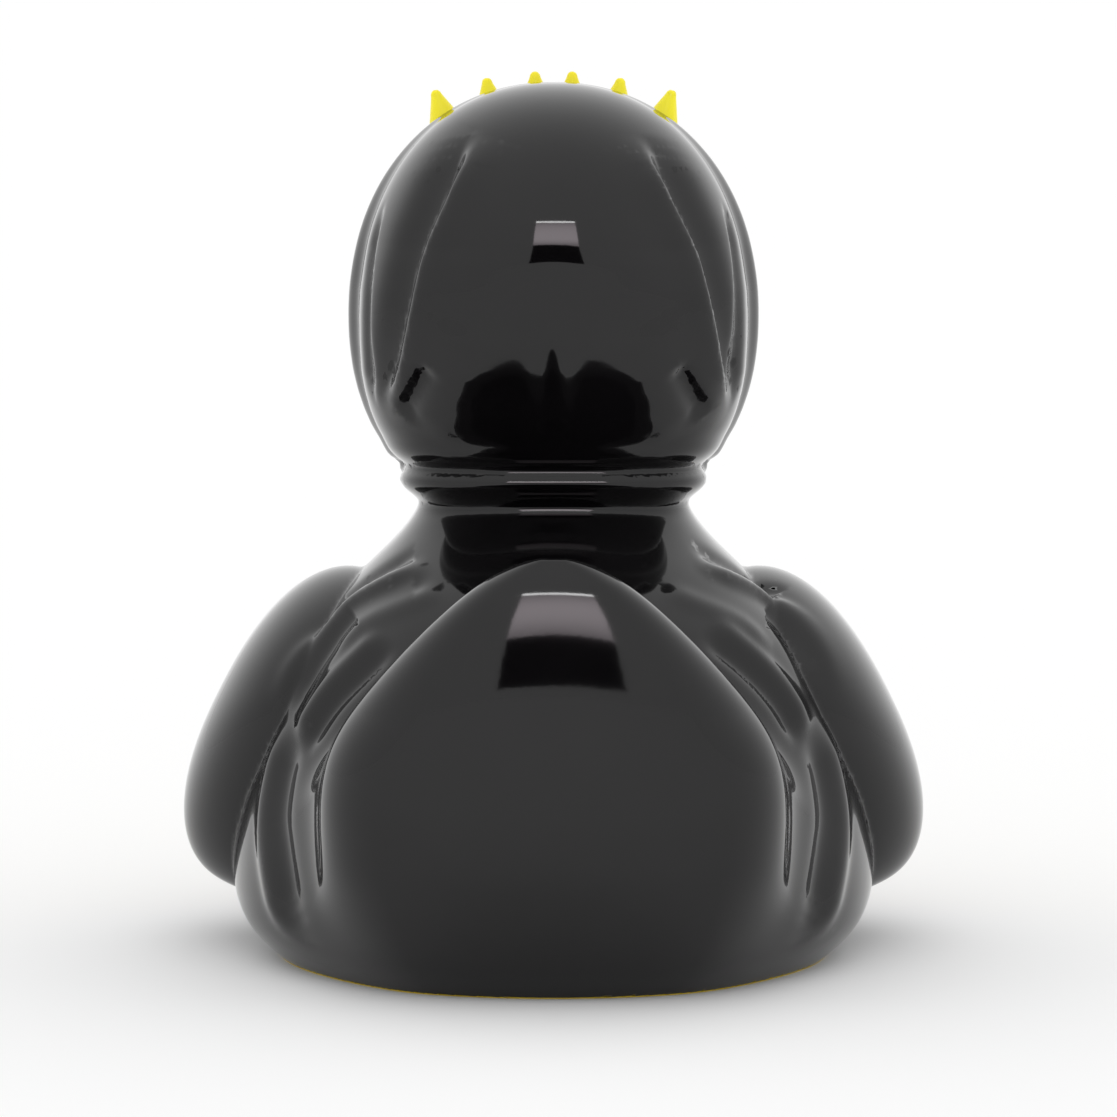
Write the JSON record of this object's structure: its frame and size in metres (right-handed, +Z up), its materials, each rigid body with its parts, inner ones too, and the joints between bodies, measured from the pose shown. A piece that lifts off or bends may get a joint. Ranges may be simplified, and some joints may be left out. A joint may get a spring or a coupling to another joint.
{
  "type": "rubber duck",
  "caption": "Hollow moulded bath duck in a draped hood and robe, with puffed side wings, a raised tongue tail, a small pointed crown and a flat foot.",
  "frame": {"origin": "middle of the flat foot, on the surface the duck stands on", "axes": "+Z up, -Y the way the bill points, +Y towards the tail, +X towards the duck's left wing as it looks along -Y"},
  "size_m": [0.075, 0.0755, 0.0877],
  "materials": {
    "black_vinyl": "glossy black paint over soft vinyl",
    "yellow_paint": "satin bright yellow paint",
    "orange_paint": "satin orange paint",
    "eye_paint": "glossy black paint",
    "yellow_vinyl": "bare soft yellow vinyl"
  },
  "bodies": {
    "root": {"duck_body": "black_vinyl"}
  },
  "joints": []
}
